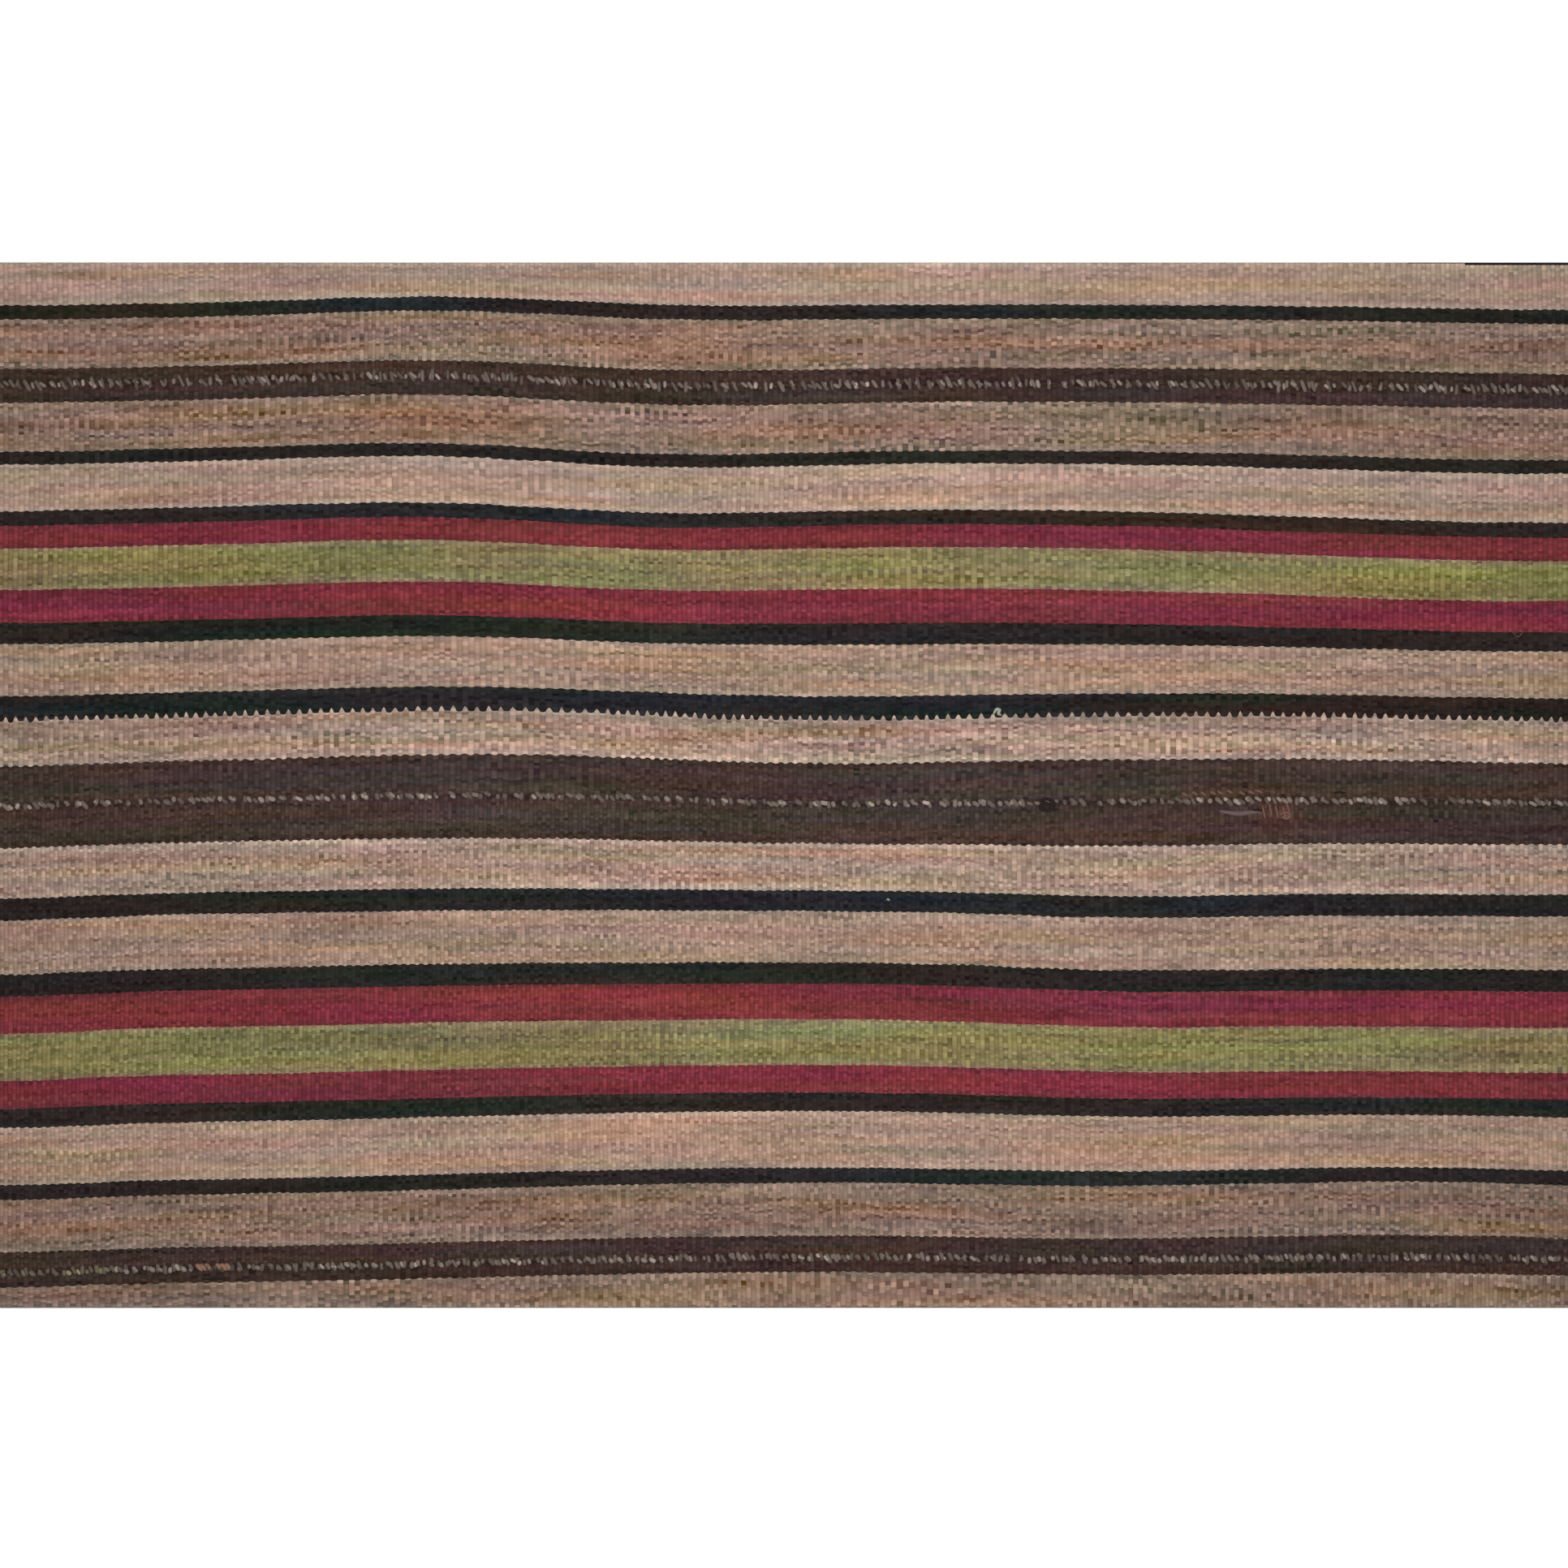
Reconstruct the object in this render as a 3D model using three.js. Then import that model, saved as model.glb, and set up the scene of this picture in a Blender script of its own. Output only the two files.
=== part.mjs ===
// A cut length of striped kilim, lying flat, in millimetres. It is woven in narrow strips, which are
// sewn edge to edge. X runs along the stripes and seams, Y across them, and the cloth rests on z = 0
// with its middle at the origin.

import * as THREE from 'three';
import { mergeVertices } from 'three/addons/utils/BufferGeometryUtils.js';

// Driving dimensions
const CLOTH_LENGTH = 920; // along the stripes, cut end to cut end
const CLOTH_WIDTH = 600; // across the strips
const CLOTH_THICK = 2.6; // over the tops of the ribs
const SEAM_GAP = 0.3; // between the butted edges of two strips
const EDGE_ROUND = 0.9; // where the weft turns back at a strip's edge
const CUT_ROUND = 0.5; // the slight softness of a cut end
const STATION_SPACING = 25; // between the stations along a strip
const ROW_SPACING = 60; // between the rows of points across a strip
const WOOL_ROUGHNESS = 0.95;

// The strips from the far side to the near side, each with the height at which its upper edge would
// lie if it ran straight. The first and the last are cut down their length.
const STRIPS = [
  { name: 'strip_1', upperEdge: CLOTH_WIDTH / 2, upperIsCut: true, color: 0xa8846c },
  { name: 'strip_2', upperEdge: 231.0, upperIsCut: false, color: 0x9c7c66 },
  { name: 'strip_3', upperEdge: -9.3, upperIsCut: false, color: 0x9a7a64 },
  { name: 'strip_4', upperEdge: -277.7, upperIsCut: false, color: 0x8f6d58 },
];
const LAST_EDGE = { upperEdge: -CLOTH_WIDTH / 2, upperIsCut: true };

// The strips don't lie quite straight: a swell lifts the stripes by its rise, or sinks them, and fades
// out over its reach
const SWELLS = [
  { x: -191, y: 243, rise: 5.0, reachX: 115, reachY: 300 },
  { x: 405, y: 134, rise: -6.1, reachX: 169, reachY: 71 },
  { x: -459, y: -115, rise: -3.4, reachX: 72, reachY: 300 },
  { x: 14, y: -233, rise: 7.4, reachX: 229, reachY: 155 },
  { x: -80, y: 180, rise: -4.2, reachX: 104, reachY: 104 },
  { x: 370, y: -247, rise: 7.6, reachX: 162, reachY: 70 },
  { x: 193, y: -75, rise: -2.8, reachX: 88, reachY: 136 },
  { x: -476, y: 72, rise: 1.4, reachX: 50, reachY: 41 },
  { x: 39, y: 19, rise: -5.5, reachX: 113, reachY: 55 },
  { x: 114, y: 21, rise: 4.6, reachX: 300, reachY: 36 },
  { x: 520, y: 249, rise: -3.6, reachX: 198, reachY: 300 },
];

function wander(x, y) {
  return SWELLS.reduce((sum, swell) => {
    const along = (x - swell.x) / swell.reachX;
    const across = (y - swell.y) / swell.reachY;
    return sum + swell.rise * Math.exp(-along * along - across * across);
  }, 0);
}

// An edge at x: a cut edge is straight, and a sewn edge wanders and keeps half the seam's gap
function edgePlace(edge, x, towardsStrip) {
  if (edge.upperIsCut) return edge.upperEdge;
  return edge.upperEdge + wander(x, edge.upperEdge) + (towardsStrip * SEAM_GAP) / 2;
}

function evenSteps(from, to, spacing) {
  const steps = Math.max(1, Math.round(Math.abs(to - from) / spacing));
  return Array.from({ length: steps + 1 }, (_, i) => from + ((to - from) * i) / steps);
}

// A strip is a box of columns by rows, one layer thick, whose points are then set in place
function stripGeometry(upper, lower) {
  const upperRound = upper.upperIsCut ? CUT_ROUND : EDGE_ROUND;
  const lowerRound = lower.upperIsCut ? CUT_ROUND : EDGE_ROUND;
  const end = CLOTH_LENGTH / 2;
  const columns = [-end, ...evenSteps(-end + CUT_ROUND, end - CUT_ROUND, STATION_SPACING), end];
  const inner = evenSteps(0, 1, ROW_SPACING / (upper.upperEdge - lower.upperEdge));
  const across = columns.length - 1;
  const along = inner.length + 1;
  const box = new THREE.BoxGeometry(across, along, 1, across, along, 1);
  box.deleteAttribute('normal');
  box.deleteAttribute('uv');
  box.translate(across / 2, along / 2, 0);
  const strip = mergeVertices(box);
  const points = strip.getAttribute('position');

  for (let i = 0; i < points.count; i += 1) {
    const column = Math.round(points.getX(i));
    const row = Math.round(points.getY(i));
    const x = columns[column];
    const near = edgePlace(lower, x, 1);
    const far = edgePlace(upper, x, -1);
    const share = inner[THREE.MathUtils.clamp(row - 1, 0, inner.length - 1)];
    const body = THREE.MathUtils.lerp(near + lowerRound, far - upperRound, share);
    const y = row === 0 ? near : row === along ? far : body;
    const drawnIn = Math.max(
      row === 0 ? lowerRound : 0,
      row === along ? upperRound : 0,
      column === 0 || column === across ? CUT_ROUND : 0,
    );
    points.setXYZ(i, x, y, points.getZ(i) > 0 ? CLOTH_THICK - drawnIn : drawnIn);
  }
  strip.computeVertexNormals();
  return strip;
}

const model = new THREE.Group();
STRIPS.forEach((strip, i) => {
  const wool = new THREE.MeshStandardMaterial({
    color: strip.color,
    roughness: WOOL_ROUGHNESS,
    metalness: 0,
  });
  const mesh = new THREE.Mesh(stripGeometry(strip, STRIPS[i + 1] ?? LAST_EDGE), wool);
  mesh.name = strip.name;
  model.add(mesh);
});

export default model;
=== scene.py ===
# A cut length of striped kilim in handspun wool. It is woven in narrow strips whose ribs run across
# them, and the strips are sewn edge to edge with pale whip stitches over the join. The cloth lies
# flat. X runs along the stripes and Y across them. Sizes are in millimetres unless a comment says
# otherwise, and become metres where a mesh is placed.

import math
import random
from collections import namedtuple

import bmesh
import bpy
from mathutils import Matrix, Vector, noise


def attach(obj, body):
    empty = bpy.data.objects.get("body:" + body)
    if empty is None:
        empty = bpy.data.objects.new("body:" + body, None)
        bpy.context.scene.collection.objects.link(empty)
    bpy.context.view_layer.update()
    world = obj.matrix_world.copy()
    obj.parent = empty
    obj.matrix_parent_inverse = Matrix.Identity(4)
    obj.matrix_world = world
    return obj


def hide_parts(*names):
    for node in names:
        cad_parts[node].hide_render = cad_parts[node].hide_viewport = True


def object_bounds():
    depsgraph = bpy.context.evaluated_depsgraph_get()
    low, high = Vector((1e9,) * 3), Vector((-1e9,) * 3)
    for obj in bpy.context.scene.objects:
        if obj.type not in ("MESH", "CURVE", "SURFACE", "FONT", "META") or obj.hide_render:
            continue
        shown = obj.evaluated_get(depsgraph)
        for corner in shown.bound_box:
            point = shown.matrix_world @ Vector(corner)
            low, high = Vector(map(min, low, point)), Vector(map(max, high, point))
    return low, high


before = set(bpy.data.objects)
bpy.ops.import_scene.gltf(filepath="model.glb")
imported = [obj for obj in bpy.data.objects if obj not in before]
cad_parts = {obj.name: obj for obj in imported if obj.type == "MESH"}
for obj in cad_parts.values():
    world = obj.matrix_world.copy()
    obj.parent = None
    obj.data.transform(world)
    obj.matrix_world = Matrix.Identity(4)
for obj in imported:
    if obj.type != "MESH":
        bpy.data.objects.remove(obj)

cad_low, cad_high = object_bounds()

# Sizes that the solids share
MM = 0.001
END = cad_high.x / MM  # the cut ends lie at this distance either side of the middle
CUT_SIDE = cad_high.y / MM  # and the cut long sides at this one
THICK = cad_high.z / MM  # over the tops of the ribs
HALF_THICK = THICK / 2
SEAM_GAP = 0.04  # the sewn edges are drawn together
EDGE_ROUND = 0.9  # how far a sewn edge is drawn in where the weft turns back
CUT_ROUND = 0.5  # and a cut one

# The weave's shape
RIB_DEPTH = 0.62  # from the top of a rib down to the groove beside it
RIB_FULLNESS = 0.7  # the power that makes a rib rounder than a sine
RIB_UNEVEN = 0.12  # how far some ribs stay below the others
PITCH_UNEVEN = 0.07  # the spread of the rib spacing, as a share of it
RIB_STEPS = 4  # columns of faces to a rib
ROW_SPACING = 14  # the most between two rows of points
RIB_WAVER = 1.3  # how far a rib strays from straight
WAVER_FADE = 25  # the length by a cut end over which it goes straight
TEETH_UNEVEN = 0.35  # the spread of the teeth along a stripe's edge
COMB_TEETH = 2  # longer teeth than this stand apart, like a comb's
EDGE_FRET = 0.45  # how far a stripe's edge strays from its line

# The yarns on it
YARN_PITCH = 1.8  # from one warp yarn to the next on the same rib
YARN_CROWDING = 1.6  # how many yarns the crowding shifts them by
YARN_JUMP = 0.4  # and how much of a yarn they shift from rib to rib
YARN_RELIEF = 0.32  # how round a yarn stands
FIBRE_RELIEF = 0.08
EDGE_REACH = (0.8, 4.2)  # the first yarns beside another stripe lie this far in, and fade out to this far
RIB_SHADE = 0.05  # how far the shade differs from rib to rib
BAND_SHADE = 0.15  # and along the cloth
FIBRE_SHADE = 0.12
SHADE_HUE = 0.78  # the power that makes the shading of a yarn paler in hue than its dye
GROOVE_LIGHT = 0.987  # the mean of the painted light on the ribs and the painted shade in their grooves

# How often the wool changes: per metre along the stripes and per metre across them
CROWD_RATE = (28, 70)
STREAK_RATE = (14, 3.7)  # the second is per yarn
RIB_SHADE_RATE = (7.3, 14)  # the first is per rib
BAND_RATE = (7, 110)
FIRST_CARD_RATE = (7, 120)
SECOND_CARD_RATE = (8, 110)
FIBRE_RATE = (800, 3600)

# Photograph's framing: what the picture's width takes in of the cloth's face, and its middle
VIEW_WIDTH = 899.9
VIEW_MIDDLE = (0.2, 0.7)
CAMERA_HEIGHT = 2400

# Studio, in metres and watts
WORLD_LIGHT = 0.45
SOFTBOX_SIDE = 0.7
SOFTBOX_POWER = 18.9
SOFTBOX_PLACE = (0.03, 0.0, 1.1)
FLOOR_HALF = 6
FLOOR_DROP = 0.2 * MM

random.seed(11)

# The strips don't lie quite straight: a swell lifts the stripes by its rise, or sinks them, and fades
# out over its reach
Swell = namedtuple("Swell", "x y rise reach_x reach_y")
SWELLS = [
    Swell(x=-191, y=243, rise=5.0, reach_x=115, reach_y=300),
    Swell(x=405, y=134, rise=-6.1, reach_x=169, reach_y=71),
    Swell(x=-459, y=-115, rise=-3.4, reach_x=72, reach_y=300),
    Swell(x=14, y=-233, rise=7.4, reach_x=229, reach_y=155),
    Swell(x=-80, y=180, rise=-4.2, reach_x=104, reach_y=104),
    Swell(x=370, y=-247, rise=7.6, reach_x=162, reach_y=70),
    Swell(x=193, y=-75, rise=-2.8, reach_x=88, reach_y=136),
    Swell(x=-476, y=72, rise=1.4, reach_x=50, reach_y=41),
    Swell(x=39, y=19, rise=-5.5, reach_x=113, reach_y=55),
    Swell(x=114, y=21, rise=4.6, reach_x=300, reach_y=36),
    Swell(x=520, y=249, rise=-3.6, reach_x=198, reach_y=300),
]


def wander(x, y):
    total = 0.0
    for swell in SWELLS:
        along = (x - swell.x) / swell.reach_x
        across = (y - swell.y) / swell.reach_y
        total += swell.rise * math.exp(-along * along - across * across)
    return total


# The stripes of each strip, from its far edge to its near one. Lower is the height of a stripe's near
# edge where the strip runs straight, teeth is how far the yarns of that edge stand into the next stripe
# on every other rib, and grain is how much its yarns differ in shade, beside others of their kind.
Stripe = namedtuple("Stripe", "yarn lower teeth shade grain", defaults=(1,))
Strip = namedtuple("Strip", "node upper far_is_cut near_is_cut rib_spacing stripes")
SEAM_1, SEAM_2, SEAM_3 = 231.0, -9.3, -277.7

STRIPS = [
    Strip(
        node="strip_1",
        upper=CUT_SIDE,
        far_is_cut=True,
        near_is_cut=False,
        rib_spacing=[(-400, 3.0), (-250, 2.45), (-60, 2.55), (60, 3.3), (260, 3.3), (400, 2.7)],
        stripes=[
            Stripe("pale", lower=276.0, teeth=0.6, shade=1.01, grain=0.72),
            Stripe("black", lower=267.9, teeth=0.6, shade=1.16),
            Stripe("tan", lower=239.8, teeth=0.7, shade=1.04),
            Stripe("brown", lower=SEAM_1, teeth=0, shade=1.0),
        ],
    ),
    Strip(
        node="strip_2",
        upper=SEAM_1,
        far_is_cut=False,
        near_is_cut=False,
        rib_spacing=[(-400, 2.85), (-240, 3.0), (-180, 3.5), (-120, 3.4), (-80, 2.7),
                     (10, 2.75), (60, 3.25), (190, 3.25), (400, 2.85)],
        stripes=[
            Stripe("brown", lower=220.3, teeth=0.7, shade=1.0),
            Stripe("tan", lower=192.5, teeth=0.6, shade=1.04),
            Stripe("black", lower=185.1, teeth=0.6, shade=1.07),
            Stripe("pale", lower=158.7, teeth=0.6, shade=1.01, grain=0.84),
            Stripe("black", lower=150.3, teeth=0.4, shade=1.2),
            Stripe("red", lower=137.2, teeth=0.45, shade=1.03),
            Stripe("green", lower=113.45, teeth=0.45, shade=1.03),
            Stripe("red", lower=94.3, teeth=0.4, shade=1.12),
            Stripe("black", lower=82.2, teeth=0.6, shade=1.07),
            Stripe("beige", lower=52.8, teeth=0.6, shade=0.97),
            Stripe("black", lower=39.7, teeth=3.0, shade=1.07),
            Stripe("pale", lower=13.2, teeth=1.0, shade=0.99, grain=1.28),
            Stripe("brown", lower=SEAM_2, teeth=0, shade=1.08),
        ],
    ),
    Strip(
        node="strip_3",
        upper=SEAM_2,
        far_is_cut=False,
        near_is_cut=False,
        rib_spacing=[(-400, 2.4), (-320, 2.53), (0, 2.5), (190, 2.8), (257, 2.84), (400, 2.73)],
        stripes=[
            Stripe("brown", lower=-33.2, teeth=0.9, shade=1.08),
            Stripe("pale", lower=-62.0, teeth=0.6, shade=0.95, grain=1.16),
            Stripe("black", lower=-74.6, teeth=0.6, shade=1.12),
            Stripe("beige", lower=-105.5, teeth=0.7, shade=0.94),
            Stripe("black", lower=-118.2, teeth=0.45, shade=1.13),
            Stripe("red", lower=-139.5, teeth=0.45, shade=1.13),
            Stripe("green", lower=-166.7, teeth=0.45, shade=1.04),
            Stripe("red", lower=-183.0, teeth=0.4, shade=1.12),
            Stripe("black", lower=-194.0, teeth=0.6, shade=1.29),
            Stripe("beige", lower=-226.9, teeth=0.6, shade=1.03, grain=0.86),
            Stripe("black", lower=-235.6, teeth=0.6, shade=1.2),
            Stripe("tan", lower=-265.75, teeth=0.7, shade=0.95),
            Stripe("brown", lower=SEAM_3, teeth=0, shade=1.0),
        ],
    ),
    Strip(
        node="strip_4",
        upper=SEAM_3,
        far_is_cut=False,
        near_is_cut=True,
        rib_spacing=[(-400, 3.3), (-320, 3.7), (-257, 3.5), (-190, 2.75), (0, 2.6),
                     (64, 3.5), (129, 3.4), (190, 2.65), (400, 2.45)],
        stripes=[
            Stripe("brown", lower=-286.05, teeth=0.7, shade=0.97),
            Stripe("tan", lower=-CUT_SIDE, teeth=0, shade=0.97),
        ],
    ),
]
CORNER_STRIPE = 301.8  # the next stripe's edge, which dips into the cut cloth at one corner

# Yarns: the dye's colour in linear light, how far the shade differs from one yarn to the next and
# from one rib to the next, the other wools that were carded in and how much of them shows, the colour
# of the first yarns beside another stripe and how much of it shows, the sheen, and the painted groove shade
Yarn = namedtuple("Yarn", "dye streaks flecks warm cool rose olive carded edge edge_share sheen groove")
YARNS = {
    "pale": Yarn(
        dye=(0.455, 0.320, 0.250), streaks=0.31, flecks=0.26,
        warm=(0.58, 0.30, 0.15), cool=(0.34, 0.31, 0.30),
        rose=(0.50, 0.27, 0.26), olive=(0.38, 0.35, 0.17),
        carded=0.35, edge=(0.53, 0.43, 0.36), edge_share=0.65, sheen=0.15, groove=0.20,
    ),
    "beige": Yarn(
        dye=(0.435, 0.296, 0.222), streaks=0.31, flecks=0.27,
        warm=(0.55, 0.28, 0.13), cool=(0.31, 0.28, 0.26),
        rose=(0.46, 0.25, 0.23), olive=(0.36, 0.32, 0.15),
        carded=0.34, edge=(0.45, 0.355, 0.285), edge_share=0.55, sheen=0.15, groove=0.20,
    ),
    "tan": Yarn(
        dye=(0.305, 0.197, 0.147), streaks=0.43, flecks=0.36,
        warm=(0.42, 0.19, 0.07), cool=(0.22, 0.21, 0.21),
        rose=(0.34, 0.17, 0.15), olive=(0.26, 0.22, 0.09),
        carded=0.32, edge=(0.33, 0.26, 0.205), edge_share=0.55, sheen=0.15, groove=0.20,
    ),
    "black": Yarn(
        dye=(0.0186, 0.0145, 0.0131), streaks=0.40, flecks=0.50,
        warm=(0.032, 0.018, 0.010), cool=(0.009, 0.016, 0.022),
        rose=(0.024, 0.013, 0.015), olive=(0.011, 0.020, 0.010),
        carded=0.72, edge=(0.024, 0.018, 0.015), edge_share=0.5, sheen=0.06, groove=0.20,
    ),
    # The brown's darker edge colour is partly its own darker edge yarns and partly painted shade in the join
    # at the seams
    "brown": Yarn(
        dye=(0.061, 0.036, 0.029), streaks=0.40, flecks=0.36,
        warm=(0.085, 0.042, 0.022), cool=(0.056, 0.045, 0.050),
        rose=(0.070, 0.034, 0.036), olive=(0.050, 0.042, 0.024),
        carded=0.75, edge=(0.046, 0.025, 0.018), edge_share=0.6, sheen=0.10, groove=0.32,
    ),
    "red": Yarn(
        dye=(0.217, 0.0290, 0.0405), streaks=0.25, flecks=0.24,
        warm=(0.240, 0.040, 0.026), cool=(0.150, 0.036, 0.060),
        rose=(0.235, 0.018, 0.062), olive=(0.170, 0.045, 0.030),
        carded=0.42, edge=(0.160, 0.030, 0.036), edge_share=0.5, sheen=0.12, groove=0.36,
    ),
    "green": Yarn(
        dye=(0.255, 0.222, 0.092), streaks=0.32, flecks=0.29,
        warm=(0.31, 0.24, 0.07), cool=(0.19, 0.20, 0.14),
        rose=(0.29, 0.19, 0.11), olive=(0.22, 0.25, 0.06),
        carded=0.42, edge=(0.31, 0.22, 0.14), edge_share=0.6, sheen=0.12, groove=0.26,
    ),
}


# Abrash: places where the dye took differently. Each fades out over its reach.
Patch = namedtuple("Patch", "yarn x y reach_x reach_y tint")
MAGENTA, BRICK, ROSE = (0.98, 0.92, 1.18), (1.02, 1.10, 0.88), (1.0, 0.95, 1.08)
YELLOWER, GREENER, TANNED = (1.05, 1.04, 0.90), (0.95, 1.03, 0.94), (1.06, 0.95, 1.04)
GREYER, UMBER = (0.94, 0.95, 1.08), (0.98, 0.88, 0.84)
BLUE_BLACK, BROWN_BLACK, GREEN_BLACK = (0.8, 1.08, 1.35), (1.3, 1.0, 0.75), (0.75, 1.2, 0.85)
PALER, DARKER, SHADED = (1.1, 1.12, 1.14), (0.88, 0.86, 0.84), (0.76, 0.76, 0.76)
GOLDEN, RUSTY, FAINTLY_RUSTY = (1.12, 0.98, 0.84), (1.40, 1.0, 0.86), (1.18, 0.95, 0.92)
PATCH_END = 2  # reaches from its middle, past which a patch doesn't show
PATCHES = [
    Patch("brown", x=0, y=231, reach_x=900, reach_y=12, tint=UMBER),
    Patch("brown", x=0, y=-277, reach_x=900, reach_y=13, tint=UMBER),
    Patch("red", x=-390, y=140, reach_x=120, reach_y=9, tint=ROSE),
    Patch("red", x=-70, y=140, reach_x=170, reach_y=9, tint=BRICK),
    Patch("red", x=160, y=140, reach_x=110, reach_y=9, tint=MAGENTA),
    Patch("red", x=-400, y=104, reach_x=110, reach_y=9, tint=MAGENTA),
    Patch("red", x=-90, y=104, reach_x=170, reach_y=9, tint=BRICK),
    Patch("red", x=190, y=104, reach_x=90, reach_y=9, tint=MAGENTA),
    Patch("red", x=360, y=104, reach_x=90, reach_y=9, tint=ROSE),
    Patch("red", x=-410, y=-130, reach_x=90, reach_y=11, tint=BRICK),
    Patch("red", x=-90, y=-128, reach_x=90, reach_y=11, tint=BRICK),
    Patch("red", x=80, y=-128, reach_x=60, reach_y=11, tint=DARKER),
    Patch("red", x=260, y=-128, reach_x=160, reach_y=11, tint=ROSE),
    Patch("red", x=-400, y=-176, reach_x=110, reach_y=9, tint=MAGENTA),
    Patch("red", x=60, y=-174, reach_x=140, reach_y=9, tint=ROSE),
    Patch("green", x=-450, y=124, reach_x=30, reach_y=12, tint=TANNED),
    Patch("green", x=-350, y=126, reach_x=60, reach_y=12, tint=YELLOWER),
    Patch("green", x=-235, y=126, reach_x=60, reach_y=12, tint=GREENER),
    Patch("green", x=-110, y=124, reach_x=50, reach_y=12, tint=GREENER),
    Patch("green", x=-20, y=124, reach_x=50, reach_y=12, tint=TANNED),
    Patch("green", x=50, y=124, reach_x=35, reach_y=12, tint=YELLOWER),
    Patch("green", x=180, y=124, reach_x=80, reach_y=12, tint=GREYER),
    Patch("green", x=350, y=122, reach_x=60, reach_y=12, tint=YELLOWER),
    Patch("green", x=-420, y=-156, reach_x=60, reach_y=12, tint=TANNED),
    Patch("green", x=-290, y=-154, reach_x=60, reach_y=12, tint=GREENER),
    Patch("green", x=60, y=-150, reach_x=110, reach_y=12, tint=GREENER),
    Patch("green", x=300, y=-152, reach_x=80, reach_y=12, tint=GREENER),
    Patch("green", x=430, y=-152, reach_x=50, reach_y=12, tint=TANNED),
    Patch("black", x=-60, y=46, reach_x=300, reach_y=12, tint=BLUE_BLACK),
    Patch("black", x=60, y=-68, reach_x=300, reach_y=12, tint=BLUE_BLACK),
    Patch("black", x=-200, y=88, reach_x=160, reach_y=12, tint=GREEN_BLACK),
    Patch("black", x=-390, y=271, reach_x=60, reach_y=11, tint=BROWN_BLACK),
    Patch("black", x=-320, y=271, reach_x=40, reach_y=11, tint=GREEN_BLACK),
    Patch("black", x=-220, y=271, reach_x=60, reach_y=11, tint=BLUE_BLACK),
    Patch("black", x=-200, y=154, reach_x=120, reach_y=11, tint=BLUE_BLACK),
    Patch("black", x=250, y=154, reach_x=200, reach_y=11, tint=BROWN_BLACK),
    Patch("black", x=330, y=46, reach_x=130, reach_y=12, tint=BROWN_BLACK),
    Patch("black", x=150, y=-231, reach_x=120, reach_y=11, tint=BLUE_BLACK),
    Patch("pale", x=200, y=26, reach_x=160, reach_y=9, tint=PALER),
    Patch("pale", x=-380, y=26, reach_x=70, reach_y=9, tint=DARKER),
    Patch("tan", x=-190, y=208, reach_x=60, reach_y=8, tint=GOLDEN),
    Patch("tan", x=-230, y=198, reach_x=50, reach_y=6, tint=GREYER),
    Patch("brown", x=284, y=-15, reach_x=12, reach_y=8, tint=RUSTY),
    Patch("brown", x=250, y=-3, reach_x=24, reach_y=6, tint=FAINTLY_RUSTY),
    Patch("pale", x=0, y=36.5, reach_x=900, reach_y=3, tint=SHADED),
]
PATCHES_OF = {name: [patch for patch in PATCHES if patch.yarn == name] for name in YARNS}


def abrash(yarn, x, y, grain):
    """The dye's tint at a place, and with it how much the stripe's yarns differ in shade."""
    tint = [1.0, 1.0, 1.0]
    for patch in PATCHES_OF[yarn]:
        along = (x - patch.x) / patch.reach_x
        across = (y - patch.y) / patch.reach_y
        if abs(along) < PATCH_END and abs(across) < PATCH_END:
            share = math.exp(-along ** 4 - across ** 4)
            tint = [old * (1 + share * (new - 1)) for old, new in zip(tint, patch.tint)]
    return (*tint, grain)


def rib_spacing_at(strip, x):
    table = strip.rib_spacing
    for (x0, spacing0), (x1, spacing1) in zip(table, table[1:]):
        if x0 <= x <= x1:
            return spacing0 + (spacing1 - spacing0) * (x - x0) / (x1 - x0)
    return table[0][1] if x < table[0][0] else table[-1][1]


# Columns of points along a strip: where each stands, on which rib, how far across it, and how high
Column = namedtuple("Column", "x rib share rise sunk drop")


def columns_of(strip):
    columns = []
    x = -END - 2
    rib = 0
    while x < END:
        width = rib_spacing_at(strip, x) * random.gauss(1, PITCH_UNEVEN)
        sunk = random.uniform(0, RIB_UNEVEN)
        for step in range(RIB_STEPS):
            share = step / RIB_STEPS
            place = x + width * share
            if -END + 0.5 < place < END - 0.5:
                rise = math.sin(math.pi * share) ** RIB_FULLNESS
                columns.append(Column(place, rib, share, rise, sunk, 0))
        x += width
        rib += 1
    first, last = columns[0], columns[-1]
    columns.insert(0, Column(-END, first.rib, first.share - 0.1, first.rise, first.sunk, CUT_ROUND))
    columns.append(Column(END, last.rib, last.share + 0.1, last.rise, last.sunk, CUT_ROUND))
    return columns


# Rows of points across a strip. A row follows the wander of its level, offset by some millimetres,
# and the stripe below it gives its faces their yarn.
Row = namedtuple("Row", "level offset wanders teeth drop stripe")
SEWN_INSETS = [(0, EDGE_ROUND), (0.35, 0.64), (1.0, 0.27), (2.2, 0)]  # distance in, and how far drawn in
CUT_INSETS = [(0, CUT_ROUND), (0.5, 0), (1.5, 0)]
COMB_ROOTS = (2.6, 5.2)  # rows below a comb's edge, where its long teeth spring from


def edge_rows(level, is_cut, inwards, stripe):
    gap = 0 if is_cut else SEAM_GAP / 2
    insets = CUT_INSETS if is_cut else SEWN_INSETS
    return [Row(level, inwards * (gap + inset), not is_cut, 0, drop, stripe) for inset, drop in insets]


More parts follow.
